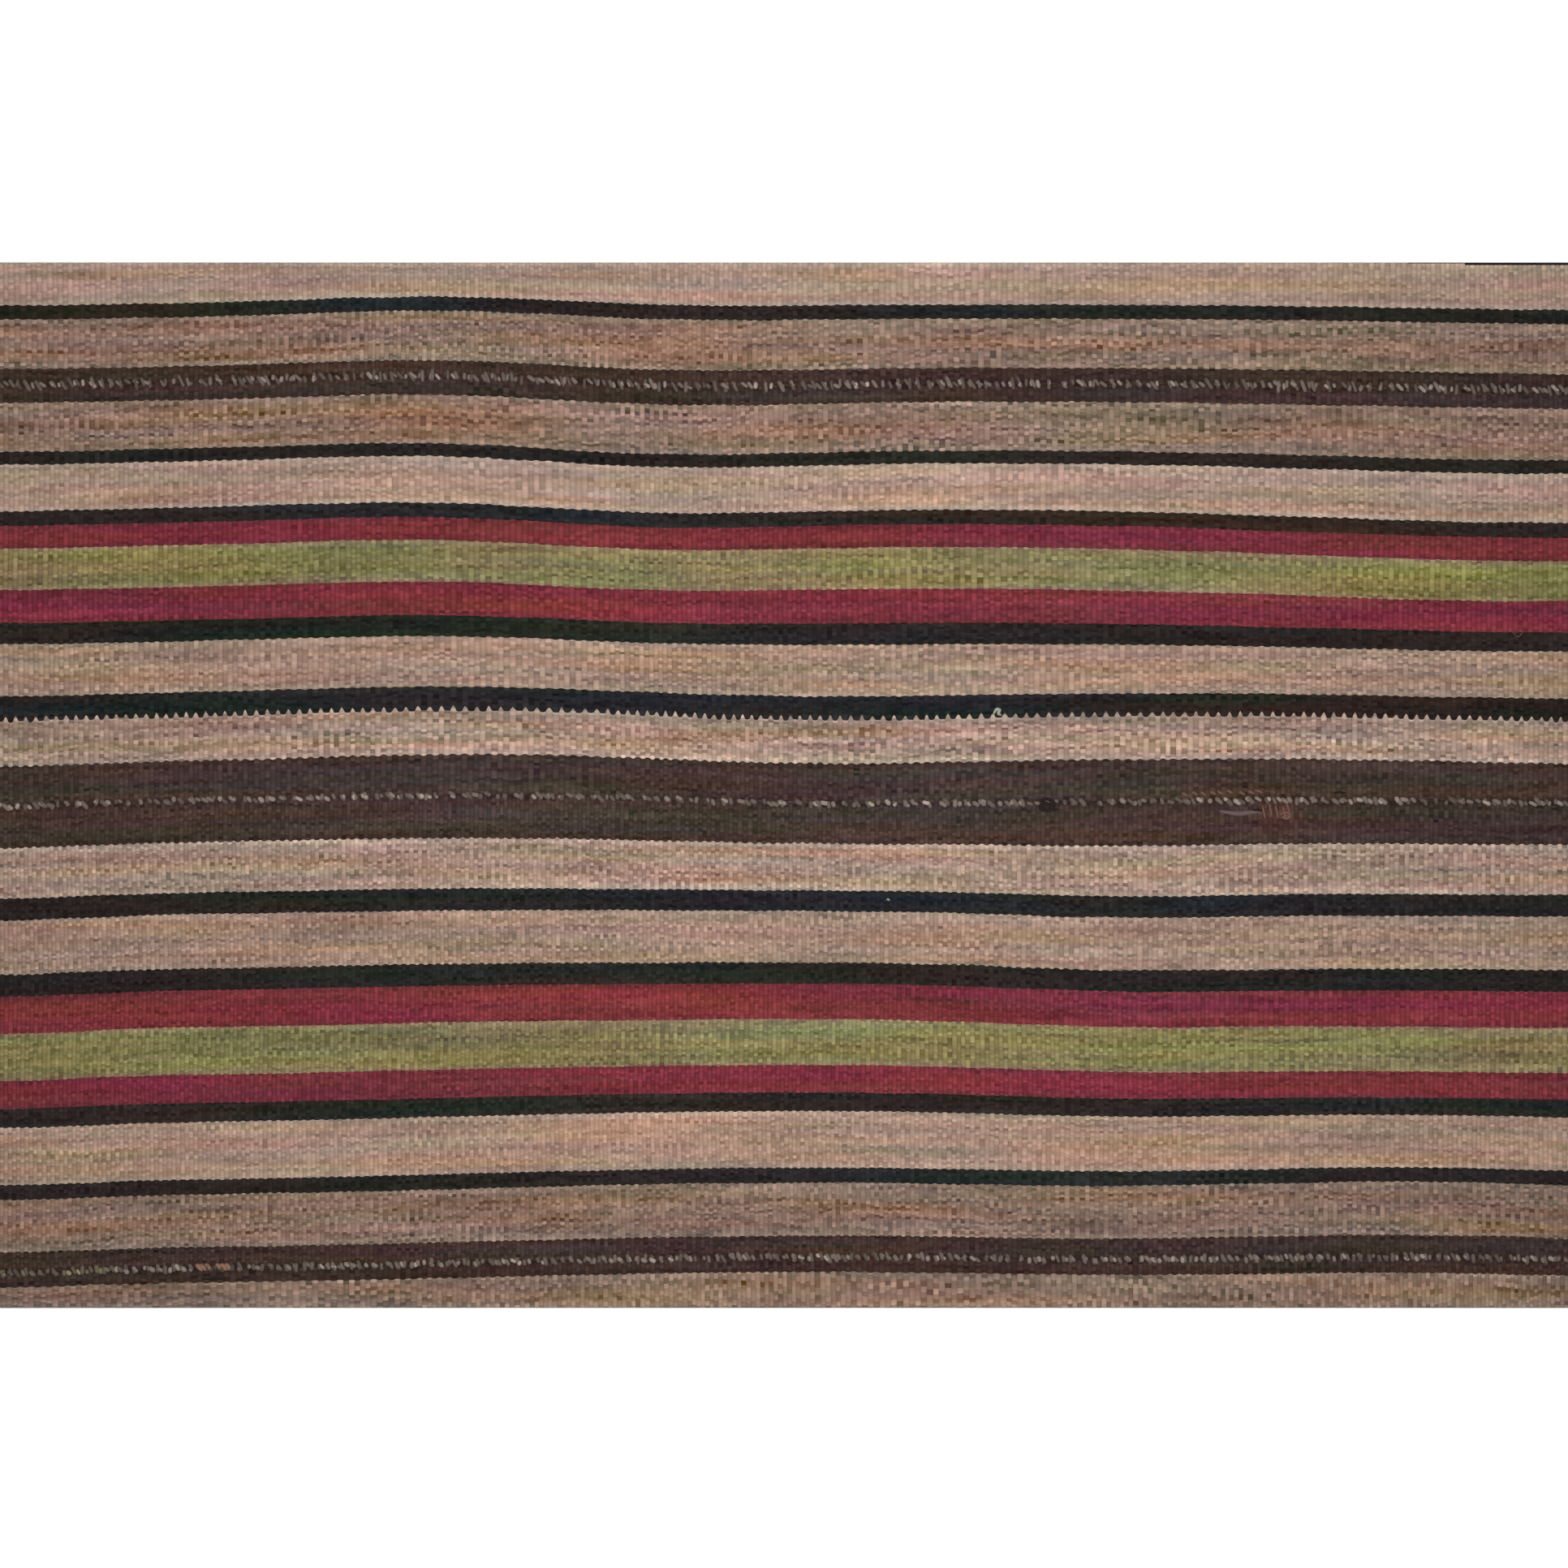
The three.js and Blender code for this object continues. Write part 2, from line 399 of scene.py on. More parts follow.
def rows_of(strip):
    rows = edge_rows(strip.upper, strip.far_is_cut, -1, strip.stripes[0])
    top = strip.upper
    for number, stripe in enumerate(strip.stripes):
        steps = math.ceil((top - stripe.lower) / ROW_SPACING)
        for step in range(1, steps):
            level = top + (stripe.lower - top) * step / steps
            rows.append(Row(level, 0, True, 0, 0, stripe))
        if number < len(strip.stripes) - 1:
            rows.append(Row(stripe.lower, 0, True, stripe.teeth, 0, strip.stripes[number + 1]))
            if stripe.teeth > COMB_TEETH:
                for below in COMB_ROOTS:
                    rows.append(Row(stripe.lower - below, 0, True, 0, 0, strip.stripes[number + 1]))
        top = stripe.lower
    last = strip.stripes[-1]
    rows += reversed(edge_rows(last.lower, strip.near_is_cut, 1, last))
    return rows


def line_of(row, x):
    """The height of a row at x, and how much of it is the swells' doing."""
    moved = wander(x, row.level) if row.wanders else 0
    return row.level + row.offset + moved, moved


def comb_crown(crown, points_up):
    """A comb's pale teeth are narrow points between broad black ones."""
    return 1.7 * crown ** 1.3 - 0.7 if points_up else 0.7 + 0.3 * crown


def yarn_strip(strip, materials):
    columns, rows = columns_of(strip), rows_of(strip)
    across, down = len(columns) - 1, len(rows) - 1
    bm = bmesh.new()
    bmesh.ops.create_grid(bm, x_segments=across, y_segments=down, size=1)
    grown = bmesh.ops.extrude_face_region(bm, geom=bm.faces[:])
    underneath = {v for v in grown["geom"] if isinstance(v, bmesh.types.BMVert)}
    thread = bm.verts.layers.float_vector.new("thread")
    took = bm.loops.layers.float_color.new("abrash")
    grid_of = {}
    lines = [[line_of(row, column.x) for column in columns] for row in rows]
    for v in bm.verts:
        c = round((v.co.x + 1) / 2 * across)
        r = round((1 - v.co.y) / 2 * down)
        column, row = columns[c], rows[r]
        side = -1 if v in underneath else 1
        y, moved = lines[r][c]
        on_upper_rib = side * (1 if column.rib % 2 else -1)
        crown = max(0, math.sin(math.pi * column.share))
        if row.teeth > COMB_TEETH:
            crown = comb_crown(crown, on_upper_rib > 0)
        tooth = row.teeth / 2 * crown * on_upper_rib
        tooth *= 1 + TEETH_UNEVEN * noise.noise(Vector((column.rib * 0.83, row.level, 3))) * 2
        if row.teeth:
            tooth += EDGE_FRET * noise.noise(Vector((column.x / 24, row.level, 0)))
        sway = RIB_WAVER * noise.noise(Vector((column.x / 140, y / 75, len(rows))))
        sway *= min(1, (END - abs(column.x)) / WAVER_FADE)
        half = HALF_THICK - max(row.drop, column.drop)
        half -= (RIB_DEPTH * (1 - column.rise) + column.sunk) * half / HALF_THICK
        v.co = Vector((column.x + sway, y + tooth, HALF_THICK + side * half)) * MM
        v[thread] = Vector((column.x * MM, (y + tooth - moved) * MM, column.rib + column.share))
        grid_of[v] = (c, r, side)
    span = bm.faces.layers.float_vector.new("stripe")
    slots = list(materials)
    tints = {}
    uppers = [strip.upper] + [stripe.lower for stripe in strip.stripes]
    upper_edge_of = {id(stripe): upper for stripe, upper in zip(strip.stripes, uppers)}
    for face in bm.faces:
        places = [grid_of[v] for v in face.verts]
        upper_row = min(r for _, r, _ in places)
        stripe = rows[upper_row].stripe
        yarn = stripe.yarn
        if strip.far_is_cut and upper_row < len(CUT_INSETS) - 1:
            x = columns[min(c for c, _, _ in places)].x
            if CORNER_STRIPE + wander(x, CORNER_STRIPE) < CUT_SIDE - CUT_INSETS[upper_row][0]:
                yarn = "black"
        face.material_index = slots.index(yarn)
        face[span] = Vector((upper_edge_of[id(stripe)] * MM, stripe.lower * MM, stripe.shade))
        face.smooth = len({side for _, _, side in places}) == 1
        for loop, (c, r, _) in zip(face.loops, places):
            if (yarn, stripe.grain, c, r) not in tints:
                level = rows[r].level + rows[r].offset
                tints[yarn, stripe.grain, c, r] = abrash(yarn, columns[c].x, level, stripe.grain)
            loop[took] = tints[yarn, stripe.grain, c, r]
    bmesh.ops.recalc_face_normals(bm, faces=bm.faces[:])
    lay_out(bm, grid_of)
    mesh = bpy.data.meshes.new("woven_" + strip.node)
    bm.to_mesh(mesh)
    bm.free()
    for name in slots:
        mesh.materials.append(materials[name])
    piece = bpy.data.objects.new("woven_" + strip.node, mesh)
    bpy.context.scene.collection.objects.link(piece)
    return piece


MAP_MARGIN = 5  # millimetres of cloth left free round each length of it on the map
UNDERSIDE_SCALE = 0.5


def lay_out(bm, grid_of):
    """Lays the strip on its map in lengths, one above the other: the face at full scale and the
    underside at half of it."""
    low = min(v.co.y for v in bm.verts) / MM - MAP_MARGIN
    tall = max(v.co.y for v in bm.verts) / MM + MAP_MARGIN - low
    lengths = 2 * max(1, round(math.sqrt(2 * END / tall) / 2))
    long = 2 * END / lengths
    wide = long + 2 * MAP_MARGIN
    high = tall * (lengths + lengths / 2 * UNDERSIDE_SCALE)
    uv = bm.loops.layers.uv.new("OFBake")
    for face in bm.faces:
        sides = {grid_of[v][2] for v in face.verts}
        below = sides == {-1}
        run = long / UNDERSIDE_SCALE if below else long
        scale = UNDERSIDE_SCALE if below else 1
        middle = sum(v.co.x for v in face.verts) / len(face.verts) / MM
        count = round(2 * END / run)
        number = min(count - 1, max(0, int((middle + END) / run)))
        base = tall * lengths if below else 0
        for loop in face.loops:
            x, y, z = loop.vert.co / MM
            if len(sides) == 2 and grid_of[loop.vert][2] == -1:
                folded = THICK - z
                if abs(x) > END - 0.01:
                    x += math.copysign(folded, x)
                else:
                    y += math.copysign(folded, y - (low + tall / 2))
            u = MAP_MARGIN + (x + END - number * run) * scale
            v = base + number * tall * scale + (y - low) * scale
            loop[uv].uv = (u / wide, v / high)


# Nodes of the yarn materials
def value_of(tree, operation, *terms):
    node = tree.nodes.new("ShaderNodeMath")
    node.operation = operation
    for socket, term in zip(node.inputs, terms):
        if isinstance(term, (int, float)):
            socket.default_value = term
        else:
            tree.links.new(term, socket)
    return node.outputs[0]


def point_of(tree, *terms):
    node = tree.nodes.new("ShaderNodeCombineXYZ")
    for socket, term in zip(node.inputs, terms):
        if isinstance(term, (int, float)):
            socket.default_value = term
        else:
            tree.links.new(term, socket)
    return node.outputs[0]


def attribute_of(tree, name, output):
    node = tree.nodes.new("ShaderNodeAttribute")
    node.attribute_name = name
    return node.outputs[output]


def cloud_of(tree, place, detail, low, high):
    """Soft noise, spread so that most of it lies between 0 and 1."""
    node = tree.nodes.new("ShaderNodeTexNoise")
    node.inputs["Scale"].default_value = 1
    node.inputs["Detail"].default_value = detail
    tree.links.new(place, node.inputs["Vector"])
    spread = tree.nodes.new("ShaderNodeMapRange")
    spread.inputs["From Min"].default_value = low
    spread.inputs["From Max"].default_value = high
    tree.links.new(node.outputs["Fac"], spread.inputs["Value"])
    return spread.outputs["Result"]


def mixed(tree, share, under, over, blend="MIX"):
    node = tree.nodes.new("ShaderNodeMix")
    node.data_type = "RGBA"
    node.blend_type = blend
    for socket, term in ((node.inputs[0], share), (node.inputs[6], under), (node.inputs[7], over)):
        if isinstance(term, (int, float)):
            socket.default_value = term
        elif isinstance(term, tuple):
            socket.default_value = (*term, 1)
        else:
            tree.links.new(term, socket)
    return node.outputs[2]


def brightened(tree, colour, factor):
    node = tree.nodes.new("ShaderNodeVectorMath")
    node.operation = "SCALE"
    tree.links.new(colour, node.inputs[0])
    tree.links.new(factor, node.inputs["Scale"])
    return node.outputs[0]


def rated(tree, along, across, rate, seed):
    """A place in a cloud that changes so many times along and across."""
    return point_of(tree, value_of(tree, "MULTIPLY", along, rate[0]),
                    value_of(tree, "MULTIPLY", across, rate[1]), seed)


def about_one(tree, value, spread):
    """1 plus or minus the spread, from a value between 0 and 1."""
    return value_of(tree, "MULTIPLY_ADD", value, 2 * spread, 1 - spread)


def wool(name, yarn, seed):
    material = bpy.data.materials.new("wool_" + name)
    material.use_nodes = True
    tree = material.node_tree
    shader = tree.nodes["Principled BSDF"]
    split = tree.nodes.new("ShaderNodeSeparateXYZ")
    tree.links.new(attribute_of(tree, "thread", "Vector"), split.inputs[0])
    along, across, rib_place = split.outputs

    # A warp yarn shows on every other rib, and its neighbour on the ribs between
    rib = value_of(tree, "FLOOR", rib_place)
    lifted = value_of(tree, "MULTIPLY", value_of(tree, "PINGPONG", rib, 1), 0.5)
    crowding = cloud_of(tree, rated(tree, along, across, CROWD_RATE, seed + 29), 1, 0.3, 0.7)
    rib_jump = tree.nodes.new("ShaderNodeTexWhiteNoise")
    rib_jump.noise_dimensions = "1D"
    tree.links.new(rib, rib_jump.inputs["W"])
    yarn_place = value_of(tree, "MULTIPLY_ADD", across, 1 / (YARN_PITCH * MM), lifted)
    yarn_place = value_of(tree, "MULTIPLY_ADD", crowding, YARN_CROWDING, yarn_place)
    yarn_place = value_of(tree, "MULTIPLY_ADD", rib_jump.outputs["Value"], YARN_JUMP, yarn_place)
    yarn_number = value_of(tree, "FLOOR", yarn_place)
    end_number = value_of(tree, "ADD", yarn_number, lifted)

    cell = point_of(tree, rib, yarn_number, seed)
    speck = tree.nodes.new("ShaderNodeTexWhiteNoise")
    speck.noise_dimensions = "3D"
    tree.links.new(cell, speck.inputs["Vector"])
    streak = cloud_of(tree, rated(tree, along, end_number, STREAK_RATE, seed), 2, 0.3, 0.7)
    rib_shade = cloud_of(tree, rated(tree, rib, across, RIB_SHADE_RATE, seed + 3), 1, 0.25, 0.75)
    band = cloud_of(tree, rated(tree, along, across, BAND_RATE, seed + 5), 2, 0.3, 0.7)

    # Other wools were carded in, two against two
    first_place = rated(tree, along, across, FIRST_CARD_RATE, seed + 11)
    second_place = rated(tree, along, across, SECOND_CARD_RATE, seed + 17)
    colour = mixed(tree, 0, yarn.dye, yarn.dye)
    for place, low, high, wool_tint in (
        (first_place, 0.50, 0.68, yarn.warm),
        (first_place, 0.50, 0.32, yarn.cool),
        (second_place, 0.50, 0.68, yarn.rose),
        (second_place, 0.50, 0.32, yarn.olive),
    ):
        share = value_of(tree, "MULTIPLY", cloud_of(tree, place, 2, low, high), yarn.carded)
        colour = mixed(tree, share, colour, wool_tint)

    # The first yarns beside another stripe. For the brown, the darker edge colour is partly painted shade in
    # the join at the seams
    stripe = tree.nodes.new("ShaderNodeSeparateXYZ")
    tree.links.new(attribute_of(tree, "stripe", "Vector"), stripe.inputs[0])
    inset = value_of(tree, "MINIMUM", value_of(tree, "SUBTRACT", stripe.outputs[0], across),
                     value_of(tree, "SUBTRACT", across, stripe.outputs[1]))
    beside = tree.nodes.new("ShaderNodeMapRange")
    beside.interpolation_type = "SMOOTHSTEP"
    first, last = EDGE_REACH
    for socket, number in zip(beside.inputs[1:5], (first * MM, last * MM, yarn.edge_share, 0)):
        socket.default_value = number
    tree.links.new(inset, beside.inputs["Value"])
    colour = mixed(tree, beside.outputs["Result"], colour, yarn.edge)

    # Lighter and darker yarns differ in shade more than in hue. The flecks are partly the yarns' own tone
    # and partly painted highlight and shadow on their fibres
    shades = value_of(tree, "MULTIPLY_ADD", streak, 2 * yarn.streaks, -yarn.streaks)
    shades = value_of(tree, "MULTIPLY_ADD", speck.outputs["Value"], 2 * yarn.flecks, shades)
    shades = value_of(tree, "SUBTRACT", shades, yarn.flecks)
    shades = value_of(tree, "MULTIPLY", shades, attribute_of(tree, "abrash", "Alpha"))
    level = sum(yarn.dye) / 3
    lights = [channel ** SHADE_HUE for channel in yarn.dye]
    shading = tree.nodes.new("ShaderNodeVectorMath")
    shading.operation = "MULTIPLY_ADD"
    shading.inputs[0].default_value = [light * level / sum(lights) * 3 for light in lights]
    tree.links.new(point_of(tree, shades, shades, shades), shading.inputs[1])
    tree.links.new(colour, shading.inputs[2])
    colour = shading.outputs[0]
    colour = brightened(tree, colour, about_one(tree, band, BAND_SHADE))
    colour = brightened(tree, colour, about_one(tree, rib_shade, RIB_SHADE))
    colour = brightened(tree, colour, stripe.outputs[2])
    colour = mixed(tree, 1, colour, attribute_of(tree, "abrash", "Color"), "MULTIPLY")

    fuzz = cloud_of(tree, rated(tree, along, across, FIBRE_RATE, seed), 3, 0.25, 0.75)
    colour = brightened(tree, colour, about_one(tree, fuzz, FIBRE_SHADE))

    # Painted shade in the grooves between the ribs, and painted light on their crowns
    across_rib = value_of(tree, "FRACT", rib_place)
    crown = value_of(tree, "SINE", value_of(tree, "MULTIPLY", across_rib, math.pi))
    colour = brightened(tree, colour, value_of(tree, "MULTIPLY_ADD", crown, yarn.groove,
                                                 GROOVE_LIGHT - yarn.groove * 2 / math.pi))
    tree.links.new(colour, shader.inputs["Base Color"])

    # Each yarn is round, and its fibres are fuzzy
    round_yarn = value_of(tree, "SINE", value_of(tree, "MULTIPLY",
                                                 value_of(tree, "FRACT", yarn_place), math.pi))
    relief = tree.nodes.new("ShaderNodeBump")
    relief.inputs["Strength"].default_value = 0.8
    relief.inputs["Distance"].default_value = YARN_RELIEF * MM
    tree.links.new(round_yarn, relief.inputs["Height"])
    fibres = tree.nodes.new("ShaderNodeBump")
    fibres.inputs["Strength"].default_value = 0.5
    fibres.inputs["Distance"].default_value = FIBRE_RELIEF * MM
    tree.links.new(fuzz, fibres.inputs["Height"])
    tree.links.new(relief.outputs["Normal"], fibres.inputs["Normal"])
    tree.links.new(fibres.outputs["Normal"], shader.inputs["Normal"])
    shader.inputs["Roughness"].default_value = 0.95
    shader.inputs["Specular IOR Level"].default_value = 0.15
    shader.inputs["Sheen Weight"].default_value = yarn.sheen
    shader.inputs["Sheen Roughness"].default_value = 0.6
    return material


# The whip stitches of the seams: the mean spacing, how far a stitch bites into each strip, how far it
# slants over the join, how thick its yarn is, and the strip it goes with
Seam = namedtuple("Seam", "name level spacing bite slant thick joins")
SEAMS = [
    Seam("seam_1", SEAM_1, spacing=5.6, bite=1.1, slant=0.9, thick=2.5, joins="woven_strip_1"),
    Seam("seam_2", SEAM_2, spacing=6.0, bite=0.6, slant=0.9, thick=2.9, joins="woven_strip_2"),
    Seam("seam_3", SEAM_3, spacing=4.9, bite=0.75, slant=0.6, thick=2.8, joins="woven_strip_3"),
]
YARN_SIDES = 6
STITCH_KINDS = [(1, 1), (1.9, 0.35)]  # the pale stitches, and longer and darker ones between them
STITCH_SPACINGS = (0.7, 0.85, 1.0, 1.15, 1.6)  # shares of the spacing, one drawn for each stitch
SLANT_SHARES = (-0.35, 1.9)  # the least and the most of the seam's slant that a stitch takes
BITE_SHARES = (0.45, 1.35)  # and of its bite
THICK_SHARES = (0.75, 1.1)  # and of its thickness
STITCH_SHIFT = 0.9  # how far a stitch strays across the join
SEAM_ENDS = (4, 6)  # a seam starts and stops this far short of the cut ends
WORN_RUN = 30  # over about this length the seam's yarn changes from pale to worn
WORN_MEAN, WORN_SPREAD = 0.72, 0.75
SEWING_PALE = (0.34, 0.275, 0.235)
SEWING_DARK = (0.060, 0.044, 0.036)
ORANGE_WOOL = (0.190, 0.102, 0.068)
SEWING_YELLOW = (0.24, 0.21, 0.12)
YELLOWED = {"seam_2": (362, 385), "seam_3": (-END, -385)}  # where a seam's yarn is yellow
DARNED = {"seam_3": (-338, -314)}  # and where it is dark, under the orange darns
PLY_PITCH = 2.2  # along the yarn from one turn of a ply to the next
PLY_RELIEF = 0.12

# A stitch from where it comes up to where the next one starts: shares of the slant, of the bite and
# of the spacing, then the height and how thick the yarn is there
StitchPoint = namedtuple("StitchPoint", "slants bites onward height thick")
STITCH_ROUTE = [
    StitchPoint(-1.00, 1.05, 0, 1.0, 0.6),
    StitchPoint(-0.98, 1.00, 0, 2.1, 0.9),
    StitchPoint(-0.70, 0.72, 0, 2.6, 1.0),
    StitchPoint(0.00, 0.00, 0, 2.5, 0.95),
    StitchPoint(0.70, -0.72, 0, 2.6, 1.0),
    StitchPoint(0.98, -1.00, 0, 2.1, 0.9),
    StitchPoint(1.00, -1.05, 0, 1.0, 0.6),
    StitchPoint(0.60, -0.45, 0.25, 0.75, 0.4),
    StitchPoint(0.00, 0.00, 0.50, 0.70, 0.4),
    StitchPoint(-0.60, 0.45, 0.75, 0.75, 0.4),
]
SEEN_HEIGHT = 1.0  # points of the route below this one are hidden in the join

# A run of yarn: its points, and its thickness and colour at each of them
Run = namedtuple("Run", "points thicks colours")


def seam_line(seam, x):
    return seam.level + wander(x, seam.level)


def is_within(lengths, seam, x):
    first, last = lengths.get(seam.name, (0, 0))
    return first < x < last


def stitch_colour(seam, x, most):
    if is_within(DARNED, seam, x):
        return SEWING_DARK
    worn = WORN_MEAN + WORN_SPREAD * noise.noise(Vector((x / WORN_RUN, seam.level, 0)))
    paleness = most * worn * (0.18 + 0.62 * random.random() ** 1.2)
    pale = SEWING_YELLOW if is_within(YELLOWED, seam, x) else SEWING_PALE
    return tuple(dark + (light - dark) * paleness for dark, light in zip(SEWING_DARK, pale))


def stitch_run(seam, reach, most_pale):
    """A run of whip stitches over a seam, from end to end."""
    run = Run([], [], [])
    x = -END + SEAM_ENDS[0]
    while x < END - SEAM_ENDS[1]:
        spacing = seam.spacing * random.choice(STITCH_SPACINGS)
        slant = seam.slant * random.uniform(*SLANT_SHARES)
        bite = seam.bite * reach * random.uniform(*BITE_SHARES)
        shift = random.uniform(-STITCH_SHIFT, STITCH_SHIFT)
        thick = seam.thick * random.uniform(*THICK_SHARES)
        colour = stitch_colour(seam, x, most_pale)
        for step in STITCH_ROUTE:
            place = x + step.slants * slant + step.onward * spacing
            is_seen = step.height >= SEEN_HEIGHT
            height = seam_line(seam, place) + step.bites * bite + (shift if is_seen else 0)
            run.points.append(Vector((place, height, step.height)))
            run.thicks.append(thick * step.thick)
            run.colours.append(colour)
        x += spacing
    return run


def roll(bm, run):
    """A narrow sheet of points, rolled round the run's route and closed along its length and ends."""
    points, steps = run.points, len(run.points) - 1
    turns = bm.verts.layers.float_vector["turns"]
    colour = bm.verts.layers.float_color["yarn_colour"]
    sheet = bmesh.ops.create_grid(bm, x_segments=steps, y_segments=YARN_SIDES, size=1)["verts"]
    sides, travelled = [], [0]
    normal = Vector((0, 1, 0))
    for i, point in enumerate(points):
        tangent = (points[min(i + 1, steps)] - points[max(i - 1, 0)]).normalized()
        normal = (normal - tangent * normal.dot(tangent)).normalized()
        sides.append((normal.copy(), tangent.cross(normal)))
        if i:
            travelled.append(travelled[-1] + (point - points[i - 1]).length)
    for v in sheet:
        i = round((v.co.x + 1) / 2 * steps)
        turn = (v.co.y + 1) / 2
        angle = 2 * math.pi * turn
        out = sides[i][0] * math.cos(angle) + sides[i][1] * math.sin(angle)
        v.co = (points[i] + out * run.thicks[i] / 2) * MM
        v[turns] = Vector((travelled[i] * MM, turn, 0))
        v[colour] = (*run.colours[i], 1)
    bmesh.ops.remove_doubles(bm, verts=sheet, dist=1e-6)
    bmesh.ops.holes_fill(bm, edges=[e for e in bm.edges if e.is_boundary], sides=0)


def yarn_piece(name, runs, material):
    bm = bmesh.new()
    bm.verts.layers.float_vector.new("turns")
    bm.verts.layers.float_color.new("yarn_colour")
    for run in runs:
        roll(bm, run)
    bmesh.ops.recalc_face_normals(bm, faces=bm.faces[:])
    for face in bm.faces:
        face.smooth = True
    mesh = bpy.data.meshes.new(name)
    bm.to_mesh(mesh)
    bm.free()
    mesh.materials.append(material)
    piece = bpy.data.objects.new(name, mesh)
    bpy.context.scene.collection.objects.link(piece)
    return piece


def smooth_run(corners, thick, colour, steps=24, taper=0.35):
    """A run of yarn through given corners, thinner towards its ends."""
    run = Run([], [], [])
    last = len(corners) - 1
    for i in range(steps + 1):
        place = i / steps * last
        k = min(int(place), last - 1)
        t = place - k
        before, start = Vector(corners[max(k - 1, 0)]), Vector(corners[k])
        stop, after = Vector(corners[k + 1]), Vector(corners[min(k + 2, last)])
        bend = (2 * before - 5 * start + 4 * stop - after) * t * t
        twist = (3 * start - before - 3 * stop + after) * t ** 3
        run.points.append((2 * start + (stop - before) * t + bend + twist) / 2)
        run.thicks.append(thick * (taper + (1 - taper) * math.sin(math.pi * i / steps) ** 0.6))
        run.colours.append(colour)
    return run


DARK_WOOL = (0.013, 0.009, 0.008)
GREY_WOOL = (0.092, 0.064, 0.060)
RUST_WOOL = (0.120, 0.062, 0.048)
PINK_WOOL = (0.130, 0.066, 0.056)
ASH_WOOL = (0.25, 0.25, 0.20)

# Shapes of loose yarns, from their middles, with the heights over the floor
KNOT = [(-6.4, 2.9, 2.0), (-4.2, 2.2, 2.9), (-0.6, 3.3, 3.1), (2.6, 1.9, 3.2), (3.4, -1.4, 3.0),
        (0.4, -2.8, 3.0), (-3.4, -1.6, 3.1), (-2.2, 0.9, 3.6), (1.4, 0.2, 3.8), (3.6, -2.4, 3.0),
        (6.6, -2.6, 2.0)]
NUB = [(-2.6, -1.6, 1.9), (-1.0, 1.3, 2.8), (0.9, 0.9, 3.0), (0.2, -0.9, 2.9), (1.9, -2.0, 1.9)]
SLUB = [(-12, 1.2, 2.1), (-6, 0.1, 2.1), (0, -0.4, 2.05), (6, 0.3, 2.1), (12, 0.5, 2.1)]
LOOP = [(-3.4, -0.6, 1.7), (-1.6, 1.2, 2.9), (1.2, 1.4, 3.1), (2.6, -0.4, 3.0), (0.8, -1.8, 3.0),
        (-1.4, -1.2, 3.1), (0.4, -0.1, 3.2), (3.2, -2.4, 1.8)]
HAIR = [(-4, 2.2, 2.7), (-1.5, -0.6, 3.3), (0.8, -1.8, 3.4), (2.6, 0.3, 3.5), (4.2, 2.6, 3.2)]
SPECK = [(-0.9, 0.3, 2.3), (0, 0.5, 2.9), (0.9, -0.2, 2.3)]
LONG_DARN = [(-1.0, 3.6, 1.6), (-0.5, 2.4, 2.75), (0.4, -2.0, 2.75), (0.8, -3.4, 1.6)]
SHORT_DARN = [(-1.6, 0.9, 1.8), (-0.7, 0.4, 2.7), (0.6, -0.3, 2.7), (1.5, -0.8, 1.8)]
ORANGE_DARN = [(-1.9, 1.3, 1.7), (-0.9, 0.9, 2.3), (0, 0, 2.5), (0.9, -0.9, 2.3), (1.9, -1.5, 1.7)]
SNAG = [(-1, 0.4, 1.7), (-0.5, -0.2, 2.5), (0, 0.2, 2.7), (0.5, -0.3, 2.5), (1, 0.2, 1.7)]  # x: half lengths
ORANGE_DARNS_AT = (-335.4, -332.8, -330.2, -324.0, -321.4, -318.8)

# Snags: the seam beside them, the place along it, how far below it they lie, and half their length
Snag = namedtuple("Snag", "seam x below half_long")
SNAGS = [
    Snag(SEAMS[1], x=272, below=5.5, half_long=3.0),
    Snag(SEAMS[1], x=319, below=-4.6, half_long=4.0),
    Snag(SEAMS[1], x=434, below=2.6, half_long=3.6),
    Snag(SEAMS[1], x=443, below=3.4, half_long=2.6),
    Snag(SEAMS[2], x=-327, below=6.2, half_long=9.0),
]


def around(x, y, shape, long=1):
    return [(x + dx * long, y + dy, z) for dx, dy, z in shape]


def loose_yarns():
    """Knots, a slub, darns and snags that show on the face."""
    middle, near = SEAMS[1], SEAMS[2]
    runs = [
        smooth_run(around(151, seam_line(middle, 151) - 1.5, KNOT), 2.8, DARK_WOOL, 48),
        smooth_run(around(123, 42.2, NUB), 2.1, ASH_WOOL, 18),
        smooth_run(around(262, seam_line(middle, 262) - 7.0, SLUB), 3.2, GREY_WOOL, 24, 0.12),
    ]
    for number in range(5):
        x = 276 + number * 3.6 + random.uniform(-1, 1)
        y = seam_line(middle, x) - 6.2 + random.uniform(-1, 1)
        runs.append(smooth_run(around(x, y, LONG_DARN), 1.3, RUST_WOOL, 8, 0.8))
    for number in range(9):
        x = 230 + number * 5.4 + random.uniform(-1, 1)
        y = seam_line(middle, x) + 4.6 + random.uniform(-0.7, 0.7)
        runs.append(smooth_run(around(x, y, SHORT_DARN), 1.6, RUST_WOOL, 6, 0.8))
    runs.append(smooth_run(around(288, seam_line(middle, 288) - 8.6, LOOP), 1.5, PINK_WOOL, 30))
    runs.append(smooth_run(around(421, 87, HAIR), 0.5, PINK_WOOL, 18))
    runs.append(smooth_run(around(60, -66, SPECK), 1.2, ASH_WOOL, 6))
    for x in ORANGE_DARNS_AT:
        runs.append(smooth_run(around(x, seam_line(near, x) + 0.4, ORANGE_DARN), 3.0, ORANGE_WOOL, 10, 0.6))
    for snag in SNAGS:
        y = seam_line(snag.seam, snag.x) - snag.below
        runs.append(smooth_run(around(snag.x, y, SNAG, snag.half_long), 1.5, DARK_WOOL, 14))
    return runs


